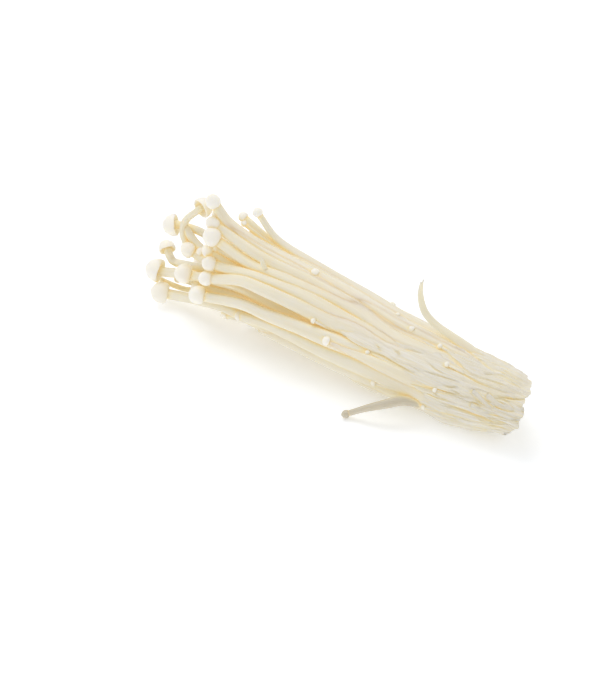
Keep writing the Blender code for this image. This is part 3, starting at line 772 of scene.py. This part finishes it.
def small_creases():
    """Short slanting creases all round the block, closer together near the cut."""
    draw = random.Random(SEED)
    made = []
    for _ in range(SMALL_CREASES):
        start = SMALL_CREASES_TO * draw.random() ** CROWD_AT_CUT - 4
        length = draw.uniform(*SMALL_CREASE_LENGTH)
        angle = draw.uniform(0, 360)
        slant = draw.uniform(-SMALL_CREASE_SLANT, SMALL_CREASE_SLANT)
        bend = draw.uniform(-SMALL_CREASE_SLANT, SMALL_CREASE_SLANT) / 3
        middle = (start + length / 2, angle + slant / 2 + bend)
        half_width = draw.uniform(*SMALL_CREASE_HALF_WIDTH)
        depth = draw.uniform(*SMALL_CREASE_DEPTH)
        line = ((start, angle), middle, (start + length, angle + slant))
        made.append(Crease(line, half_width, depth, SMALL_CREASE_SHADE_SHOWS * depth))
    return made


def crease_depth(alongs, degrees):
    """How deep the creases cut at places of the block, and how clearly each one's painted shade shows, from 0
    to 1.
    """
    places = np.stack((alongs, degrees * MM_A_DEGREE), axis=-1)
    depths = np.zeros(alongs.shape)
    shows = np.zeros(alongs.shape)
    for crease in [*CREASES, *small_creases()]:
        line = np.array(crease.line, dtype=float) * (1, MM_A_DEGREE)
        turn = 360 * MM_A_DEGREE
        run = 0.0
        whole = np.sum(np.hypot(*np.diff(line, axis=0).T))
        for start, end in zip(line, line[1:]):
            way = end - start
            length = np.hypot(*way)
            off = places - start
            off[..., 1] = (off[..., 1] + turn / 2) % turn - turn / 2
            share = np.clip(off @ way / length**2, 0, 1)
            away = np.linalg.norm(off - share[..., None] * way, axis=-1)
            taper = np.sqrt(np.sin(np.pi * np.clip((run + share * length) / whole, 0.02, 0.98)))
            cut = np.clip(1 - (away / (crease.half_width * (0.6 + 0.6 * taper))) ** 2, 0, 1) ** 1.5
            depths = np.maximum(depths, cut * crease.depth * taper)
            shows = np.maximum(shows, cut * taper * crease.shows)
            run += length
    return depths, shows


def sheet_fill(along, degrees):
    """How far out the smooth sheet of joined stems reaches on the near upper side. Its lower edge is torn."""
    fill = read_table(SMOOTH_SHEET_FILL, along) + ease(0, SMOOTH_SHEET_LOWER_RISE, (degrees - 118) / 14)
    edge = read_table(SMOOTH_SHEET_LOWER_EDGE, along)
    edge += SMOOTH_SHEET_TEARS * noise_at(along / SMOOTH_SHEET_TEAR_LENGTH, 4, 1)
    fall = ease(1, 0.78, (degrees - edge) / read_table(SMOOTH_SHEET_LOWER_FALL, along))
    return fill * fall * ease(1, 0.75, (SMOOTH_SHEET_UPPER_EDGE - degrees) / 14)


def reach_at(along, degrees):
    """The sheet draws the block's rings out along the bunch."""
    drawn = ease(0, 1, (along - SHEET_STARTS) / (SHEET_WIDEST - SHEET_STARTS))
    drawn *= ease(1, SHEET_LAST_SHARE, (along - SHEET_WIDEST) / (SHEET_ENDS - SHEET_WIDEST))
    return along + SHEET_REACH * drawn * bump(degrees, SHEET_ANGLE, SHEET_HALF_ANGLE)


def sag_at(along, degrees):
    lengthwise = ease(1, 0, abs(along - SAG_MIDDLE) / SAG_HALF_LENGTH)
    return SAG * bump(degrees, SAG_ANGLE, SAG_HALF_ANGLE) * lengthwise


def cut_lean(along):
    """How much of the cut's slant a ring takes part in, from 1 at the cut to 0 where it has faded."""
    return max(0.0, 1 - along / CUT_LEAN_FADES)


def cut_shift(place, along, degrees, share=1.0):
    """How far the cut's slant, lip and corner move a place of the block along the bunch."""
    lean = cut_lean(along)
    slant = (CUT_LEAN_ACROSS * place.y + CUT_LEAN_UP * (place.z - section_at(along).centre_up)) * lean
    lip = CUT_LIP * bump(degrees, CUT_LIP_ANGLE, CUT_LIP_HALF_ANGLE) * lean
    corner = CUT_CORNER * bump(degrees, CUT_CORNER_ANGLE, CUT_CORNER_HALF_ANGLE) * lean**2
    return slant + (corner - lip) * share


def block_ring(along, ribs, cuts, face_share=1.0):
    """Places of one ring of the block, where each is in the grain, and how much painted shade its groove
    gets.
    """
    fill = read_table(BLOCK_RINGS, along)
    girth = section_at(along)
    places = []
    fibres = []
    groove_shades = []
    for n in range(BLOCK_SIDES):
        degrees = 360 * n / BLOCK_SIDES
        turn = math.radians(degrees)
        reach = reach_at(along, degrees)
        height, groove = rib_height(turn, reach, ribs)
        height = height * ease(1, 0.5, along / RIBS_HALF_BY) - cuts[n] + sag_at(along, degrees)
        filled = max(fill, sheet_fill(reach, degrees) if along > SHEET_STARTS else 0)
        place = on_bunch(reach, degrees, (filled + height / girth.half_width) * face_share)
        fray = sum(high * noise_round(turn, around, at) for high, around, at in CUT_FRAYS)
        place.x += cut_shift(place, along, degrees, fill * face_share) + fray * cut_lean(along) ** 3
        places.append(place)
        fibres.append((math.cos(turn) * BLOCK_GRAIN_RADIUS, math.sin(turn) * BLOCK_GRAIN_RADIUS, reach))
        groove_shades.append(groove * GROOVE_SHADE_SHOWS)
    return places, fibres, groove_shades


def leaning_along(along, degrees):
    """Where a place of the block falls along the bunch once the cut's slant has moved it."""
    return along + cut_shift(on_bunch(along, degrees, 1.0), along, degrees)


def face_relief(place):
    """Cut stem ends on the root face: rounded cells with grooves between them and a hollow in each."""
    distances, _ = noise.voronoi(Vector((0, place.y / CELL_WIDTH, place.z / CELL_WIDTH)))
    depth = CELL_ROUGHNESS * noise.noise(place / CELL_GRAIN)
    for away, (width, deep) in ((distances[1] - distances[0], CELL_GROOVE), (distances[0], CELL_HOLLOW)):
        depth += deep * ease(1, 0, away / width)
    return depth


def build_root_block():
    block = Growth()
    draw = random.Random(SEED)
    ribs = [draw.uniform(0.5, 1.0) for _ in range(RIBS + 1)]
    whole = BLOCK_RINGS[-1][0]
    alongs = [whole * (k / (BLOCK_STATIONS - 1)) ** CROWD_AT_CUT for k in range(BLOCK_STATIONS)]
    angles = [360 * n / BLOCK_SIDES for n in range(BLOCK_SIDES)]
    fallen = np.array([[leaning_along(reach_at(a, d), d) for d in angles] for a in alongs])
    cuts, shows = crease_depth(fallen, np.array([angles] * BLOCK_STATIONS))
    crease_shade = [0.0] * (FACE_RINGS * BLOCK_SIDES + 1)
    previous = None
    for k in range(FACE_RINGS, 0, -1):
        share = max(1 - k / FACE_RINGS, 0.01)
        places, _, _ = block_ring(0.0, ribs, cuts[0], share)
        fibres = [(place.y, place.z, 0.0) for place in places]
        for place in places:
            place.x += face_relief(place) * ease(1, 0, (share - FACE_RIM_FROM) / (1 - FACE_RIM_FROM))
        ring = block.add_ring(places, fibres, 0.5)
        if previous is None:
            block.close(ring, sum(places, Vector()) / len(places), (0, 0, 0), 0.5, inwards=True)
        else:
            block.join_rings(previous, ring)
        previous = ring
    for along, cut, show in zip(alongs, cuts, shows):
        places, fibres, groove_shades = block_ring(along, ribs, cut)
        ring = block.add_ring(places, fibres, 0.5)
        block.join_rings(previous, ring)
        crease_shade += list(np.maximum(show * CREASE_SHADE_SHOWS, groove_shades))
        previous = ring
    block.close(previous, sum(places, Vector()) / len(places), (0, 0, 90), 0.5)
    crease_shade.append(0.0)
    made = block.to_object("root_block")
    # The crease mark carries the painted shade of the block's creases and rib grooves.
    mark = made.data.attributes.new("crease", "FLOAT", "POINT")
    mark.data.foreach_set("value", np.array(crease_shade, dtype=np.float32))
    return made


def broken_section(turn, i):
    return 1, BROKEN_FLATTEN


def build_broken_stems():
    """Stems torn off short near the cut, each with a hollow in its end."""
    broken = Growth()
    draw = random.Random(SEED)
    for stations, radius in BROKEN_STEMS:
        rings = np.linspace(BROKEN_ROOT_RING, BROKEN_END_RING, len(stations))
        line = smooth_line([on_bunch(a, d, r) for (a, d), r in zip(stations, rings)], BROKEN_RINGS)
        radii = [radius * (1 + BROKEN_SWELL * noise.noise(p / 2)) for p in line]
        inwards = (line[1] - line[0]).normalized()
        rim = line[0] - inwards * BROKEN_RIM
        line = [rim + inwards * BROKEN_HOLLOW, rim, *line]
        radii = [radius * 0.5, radius * 0.8, *radii]
        tone = draw.random()
        begins = len(broken.places)
        ring, side, run = tube(broken, line, radii, BROKEN_SIDES, Vector((0, 0, 1)), broken_section, tone)
        broken.close(range(begins, begins + BROKEN_SIDES), line[0], (0, 0, 0), tone, inwards=True)
        broken.close(ring, line[-1], (0, 0, run), tone)
    return broken.to_object("broken_stems")


# What the flesh's painted shade and painted glow read: how closed in each place is


def mark_gap_shade(pieces):
    """Writes on each vertex how much nearby flesh closes it in, from 0 in the open to 1 deep in a gap: the
    mask of the painted shade and painted glow.
    """
    places = []
    faces = []
    for piece in pieces:
        first = len(places)
        places += [v.co for v in piece.data.vertices]
        faces += [[first + i for i in face.vertices] for face in piece.data.polygons]
    tree = BVHTree.FromPolygons(places, faces)
    draw = random.Random(SEED)
    rays = [Vector([draw.gauss(0, 1) for _ in range(3)]).normalized() for _ in range(GAP_RAYS)]
    reach = GAP_REACH * MM
    for piece in pieces:
        shut = []
        for vertex in piece.data.vertices:
            normal = vertex.normal
            start = vertex.co + normal * GAP_RAY_START * MM
            total = 0.0
            for ray in rays:
                hit = tree.ray_cast(start, (ray + normal * GAP_RAYS_LEAN_OUT).normalized(), reach)
                if hit[0] is not None:
                    total += GAP_FAR + GAP_NEAR * math.exp(-hit[3] / (GAP_NEAR_REACH * MM))
            shut.append(total / len(rays))
        shut = smoothed(piece.data, np.array(shut))
        # The block's painted crease and groove shade counts where it is stronger.
        if "crease" in piece.data.attributes:
            crease_shade = np.zeros(len(shut))
            piece.data.attributes["crease"].data.foreach_get("value", crease_shade)
            shut = np.maximum(shut, crease_shade)
        gap_shade = piece.data.attributes.new("gap_shade", "FLOAT", "POINT")
        gap_shade.data.foreach_set("value", shut.astype(np.float32))


def smoothed(data, values):
    """Values of a mesh's vertices, evened out with those of their neighbours."""
    ends = np.zeros(len(data.edges) * 2, dtype=np.int64)
    data.edges.foreach_get("vertices", ends)
    ends = ends.reshape(-1, 2)
    for _ in range(GAP_SMOOTHING):
        total = values.copy()
        count = np.ones(len(values))
        for a, b in ((0, 1), (1, 0)):
            np.add.at(total, ends[:, a], values[ends[:, b]])
            np.add.at(count, ends[:, a], 1)
        values = total / count
    return values


# Materials


def new_group(name, inputs, outputs):
    group = bpy.data.node_groups.new(name, "ShaderNodeTree")
    for socket, kind, value in inputs:
        made = group.interface.new_socket(socket, in_out="INPUT", socket_type=f"NodeSocket{kind}")
        if value is not None:
            made.default_value = value
    for socket, kind in outputs:
        group.interface.new_socket(socket, in_out="OUTPUT", socket_type=f"NodeSocket{kind}")
    entry = group.nodes.new("NodeGroupInput")
    return group, entry.outputs, group.nodes.new("NodeGroupOutput")


def set_inputs(tree, node, inputs):
    """Links each input of the node to a socket, or gives it a value."""
    for name, value in inputs.items():
        if isinstance(value, bpy.types.NodeSocket):
            tree.links.new(value, node.inputs[name])
        else:
            node.inputs[name].default_value = value


def add_node(tree, kind, inputs, **settings):
    node = tree.nodes.new(kind)
    for setting, value in settings.items():
        setattr(node, setting, value)
    set_inputs(tree, node, inputs)
    return node


def new_material(name):
    material = bpy.data.materials.new(name)
    material.use_nodes = True
    return material, material.node_tree, material.node_tree.nodes["Principled BSDF"]


def read_mark(tree, name):
    return add_node(tree, "ShaderNodeAttribute", {}, attribute_name=name)


def math_node(tree, operation, a, b=0.0, clamp=False):
    return add_node(tree, "ShaderNodeMath", {0: a, 1: b}, operation=operation, use_clamp=clamp).outputs[0]


def fade(tree, value, low, high, to_low=0.0, to_high=1.0):
    inputs = {"Value": value, "From Min": low, "From Max": high, "To Min": to_low, "To Max": to_high}
    return add_node(tree, "ShaderNodeMapRange", inputs, interpolation_type="SMOOTHSTEP").outputs["Result"]


def mix_colour(tree, share, a, b):
    return add_node(tree, "ShaderNodeMix", {0: share, 6: a, 7: b}, data_type="RGBA").outputs[2]


def stretched_noise(tree, place, stretch, inputs):
    at = add_node(tree, "ShaderNodeVectorMath", {0: place, 1: stretch}, operation="MULTIPLY").outputs[0]
    return add_node(tree, "ShaderNodeTexNoise", {"Vector": at, "Scale": 1.0, **inputs}).outputs["Fac"]


LINES_STRETCH = (2.6, 2.6, 0.10)
STREAKS_STRETCH = (0.55, 0.55, 0.05)


def fibre_group():
    """Fibres that run along the flesh: fine lines, broad streaks and the height of both."""
    group, entry, leave = new_group(
        "flesh_fibres",
        [("Fibre Place", "Vector", None), ("Fineness", "Float", 1.0)],
        [("Lines", "Float"), ("Streaks", "Float"), ("Height", "Float")],
    )
    scaled = {0: entry["Fibre Place"], 3: entry["Fineness"]}
    place = add_node(group, "ShaderNodeVectorMath", scaled, operation="SCALE").outputs[0]
    lines = stretched_noise(group, place, LINES_STRETCH, {"Detail": 3.0, "Roughness": 0.6})
    streaks = stretched_noise(group, place, STREAKS_STRETCH, {"Detail": 2.0})
    lines_mask = fade(group, lines, 0.35, 0.68)
    streaks_mask = fade(group, streaks, 0.36, 0.66)
    height = math_node(group, "ADD", math_node(group, "MULTIPLY", lines_mask, 0.6), streaks_mask)
    set_inputs(group, leave, {"Lines": lines_mask, "Streaks": streaks_mask, "Height": height})
    return group


# Between which gap marks the shallow and the deep painted shade set in, and the painted glow for light
# through the flesh
SHALLOW_GAP = (0.06, 0.5)
DEEP_GAP = (0.4, 0.9)
SHALLOW_SHADE_COLOUR = (0.84, 0.76, 0.52, 1)
DEEP_SHADE_COLOUR = (0.85, 0.69, 0.37, 1)
OPEN_PAINTED_GLOW = (0.15, 0.12, 0.07, 1)
SHALLOW_PAINTED_GLOW = (0.41, 0.31, 0.14, 1)
DEEP_PAINTED_GLOW = (0.8, 0.66, 0.37, 1)


def gap_shade_group():
    """Paints shade into a colour, deepening it towards ochre where flesh is closed in, and gives a painted
    glow there.
    """
    group, entry, leave = new_group(
        "gap_painted_shade_and_glow",
        [
            ("Open Colour", "Color", (1, 1, 1, 1)),
            ("Gap Shade", "Float", 0.0),
            ("Strength", "Float", 1.0),
        ],
        [("Colour", "Color"), ("Painted Glow", "Color")],
    )
    strength = entry["Strength"]
    shallow = math_node(group, "MULTIPLY", fade(group, entry["Gap Shade"], *SHALLOW_GAP), strength, clamp=True)
    deep = math_node(group, "MULTIPLY", fade(group, entry["Gap Shade"], *DEEP_GAP), strength, clamp=True)
    colour = mix_colour(group, shallow, entry["Open Colour"], SHALLOW_SHADE_COLOUR)
    colour = mix_colour(group, deep, colour, DEEP_SHADE_COLOUR)
    painted_glow = mix_colour(group, shallow, OPEN_PAINTED_GLOW, SHALLOW_PAINTED_GLOW)
    painted_glow = mix_colour(group, deep, painted_glow, DEEP_PAINTED_GLOW)
    set_inputs(group, leave, {"Colour": colour, "Painted Glow": painted_glow})
    return group


RELIEF_HEIGHT = 0.0002
SCATTER_RADIUS = (1.0, 0.96, 0.74)
FLESH_IOR = 1.38


def flesh_material(name, fibres, gap_shades, values):
    """Ivory flesh with lengthwise fibres and warm streaks, painted ochre shade in its gaps and a painted
    glow, strongest there.
    """
    material, tree, shader = new_material(name)
    fibre = read_mark(tree, "fibre").outputs["Vector"]
    gap_shade = read_mark(tree, "gap_shade").outputs["Fac"]
    tone = read_mark(tree, "tone").outputs["Fac"]
    inputs = {"Fibre Place": fibre, "Fineness": values["fineness"]}
    grain = add_node(tree, "ShaderNodeGroup", inputs, node_tree=fibres).outputs
    colour = mix_colour(tree, tone, values["pale"], values["warm"])
    for part in ("streak", "line"):
        share = math_node(tree, "MULTIPLY", grain[f"{part.title()}s"], values[f"{part}s"])
        colour = mix_colour(tree, share, colour, values[f"{part}_colour"])
    inputs = {"Open Colour": colour, "Gap Shade": gap_shade, "Strength": values["gap_shade_strength"]}
    gap_shading = add_node(tree, "ShaderNodeGroup", inputs, node_tree=gap_shades).outputs
    run = add_node(tree, "ShaderNodeSeparateXYZ", {0: fibre}).outputs["Z"]
    fibrous = fade(tree, run, *values["fibrous_to"], 1.0, 0.3)
    height = math_node(tree, "MULTIPLY", grain["Height"], fibrous)
    inputs = {"Height": height, "Strength": values["relief"], "Distance": RELIEF_HEIGHT}
    rough = values["rough"]
    shader_inputs = {
        # Painted shade: the colour is darkened towards ochre where the flesh is closed in.
        "Base Color": gap_shading["Colour"],
        # Painted glow: emission that stands in for light let through the flesh, strongest in the gaps.
        "Emission Color": gap_shading["Painted Glow"],
        "Emission Strength": values["painted_glow"],
        "Normal": add_node(tree, "ShaderNodeBump", inputs).outputs["Normal"],
        "Roughness": fade(tree, grain["Streaks"], 0.0, 1.0, rough - 0.05, rough + 0.06),
        "Subsurface Weight": values["subsurface"],
        "Subsurface Radius": SCATTER_RADIUS,
        "Subsurface Scale": values["scatter"],
        "IOR": FLESH_IOR,
        "Specular IOR Level": values["gloss"],
    }
    set_inputs(tree, shader, shader_inputs)
    return material


STEM_LOOK = {
    "pale": (0.82, 0.775, 0.65, 1),
    "warm": (0.81, 0.755, 0.60, 1),
    "streak_colour": (0.81, 0.74, 0.545, 1),
    "line_colour": (0.85, 0.815, 0.73, 1),
    "streaks": 0.5,
    "lines": 0.4,
    "fineness": 1.0,
    "fibrous_to": (20.0, 60.0),
    # How strongly the painted shade in the gaps shows
    "gap_shade_strength": 0.8,
    # Emission strength of the painted glow
    "painted_glow": 0.22,
    "relief": 0.35,
    "rough": 0.42,
    "subsurface": 0.6,
    "scatter": 0.0014,
    "gloss": 0.4,
}
BLOCK_LOOK = {
    **STEM_LOOK,
    "pale": (0.83, 0.78, 0.665, 1),
    "warm": (0.83, 0.78, 0.665, 1),
    "streak_colour": (0.80, 0.725, 0.54, 1),
    "line_colour": (0.87, 0.855, 0.82, 1),
    "subsurface": 0.45,
    "scatter": 0.0007,
    "streaks": 0.75,
    "lines": 0.6,
    "fineness": 1.2,
    "painted_glow": 0.2,
    "relief": 0.75,
    "rough": 0.52,
    "gap_shade_strength": 0.9,
}
CAP_LOOK = {
    **STEM_LOOK,
    "pale": (0.94, 0.91, 0.85, 1),
    "warm": (0.93, 0.88, 0.79, 1),
    "streak_colour": (0.93, 0.88, 0.78, 1),
    "line_colour": (0.94, 0.91, 0.86, 1),
    "streaks": 0.35,
    "lines": 0.1,
    "fineness": 0.4,
    "gap_shade_strength": 0.6,
    "relief": 0.08,
    "rough": 0.36,
    "subsurface": 0.4,
    "gloss": 0.45,
}
PIN_LOOK = {
    **STEM_LOOK,
    "warm": (0.90, 0.865, 0.775, 1),
    "streak_colour": (0.87, 0.82, 0.705, 1),
    "line_colour": (0.90, 0.875, 0.80, 1),
    "streaks": 0.25,
    "gap_shade_strength": 0.35,
    "lines": 0.15,
    "relief": 0.1,
}
# A darker copy of the stem flesh: painted shade for the stem that lies low in shade by the bunch
LOOSE_SHADED_LOOK = {
    **STEM_LOOK,
    "pale": (0.58, 0.53, 0.425, 1),
    "warm": (0.58, 0.53, 0.425, 1),
    "streak_colour": (0.58, 0.51, 0.38, 1),
    "line_colour": (0.70, 0.65, 0.55, 1),
}


# Surroundings


def build_floor():
    bpy.ops.mesh.primitive_plane_add(size=30, location=(0, 0, 0))
    floor = bpy.context.object
    floor.name = "pale_floor"
    material, tree, shader = new_material("pale_floor")
    matte = {"Base Color": FLOOR_COLOUR, "Roughness": 0.9, "Specular IOR Level": 0.1}
    lit = {"Emission Color": (1, 1, 1, 1), "Emission Strength": FLOOR_LIGHT}
    set_inputs(tree, shader, {**matte, **lit})
    floor.data.materials.append(material)


def light_studio():
    world = bpy.data.worlds.new("studio")
    world.use_nodes = True
    backdrop = {"Color": (1, 1, 1, 1), "Strength": WORLD_LIGHT}
    set_inputs(world.node_tree, world.node_tree.nodes["Background"], backdrop)
    bpy.context.scene.world = world
    light = bpy.data.lights.new("top_softbox", "AREA")
    light.energy = LAMP_POWER
    light.shape = "DISK"
    light.size = LAMP_SIZE
    lamp = bpy.data.objects.new("top_softbox", light)
    lamp.location = LAMP_PLACE
    lamp.rotation_euler = (-Vector(LAMP_PLACE)).to_track_quat("-Z", "Y").to_euler()
    bpy.context.scene.collection.objects.link(lamp)
    bpy.context.scene.view_settings.view_transform = "Standard"


def place_camera():
    camera = bpy.data.cameras.new("camera")
    camera.lens = CAMERA_LENS
    camera.sensor_width = 36
    camera.sensor_fit = "AUTO"
    camera.clip_start = 0.01
    eye = bpy.data.objects.new("camera", camera)
    eye.location = CAMERA_PLACE
    eye.rotation_euler = [math.radians(a) for a in CAMERA_TURN]
    bpy.context.scene.collection.objects.link(eye)
    bpy.context.scene.camera = eye


stems, caps = build_mushrooms()
loose_mushroom = build_loose_mushroom()
pins = build_pins()
slivers = build_slivers()
root_block = build_root_block()
broken_stems = build_broken_stems()
mark_gap_shade([stems, caps, loose_mushroom, pins, slivers, root_block, broken_stems])

fibres = fibre_group()
gap_shades = gap_shade_group()
stem_flesh = flesh_material("stem_flesh", fibres, gap_shades, STEM_LOOK)
block_flesh = flesh_material("block_flesh", fibres, gap_shades, BLOCK_LOOK)
cap_skin = flesh_material("cap_skin", fibres, gap_shades, CAP_LOOK)
pin_flesh = flesh_material("pin_flesh", fibres, gap_shades, PIN_LOOK)
shaded_loose_flesh = flesh_material("shaded_loose_flesh", fibres, gap_shades, LOOSE_SHADED_LOOK)
dressed = (
    (stems, stem_flesh),
    (caps, cap_skin),
    (loose_mushroom, shaded_loose_flesh),
    (pins, pin_flesh),
    (slivers, stem_flesh),
    (broken_stems, block_flesh),
    (root_block, block_flesh),
)
for piece, material in dressed:
    piece.data.materials.append(material)
    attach(piece, "root")
    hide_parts("enoki_bunch")

build_floor()
light_studio()
place_camera()
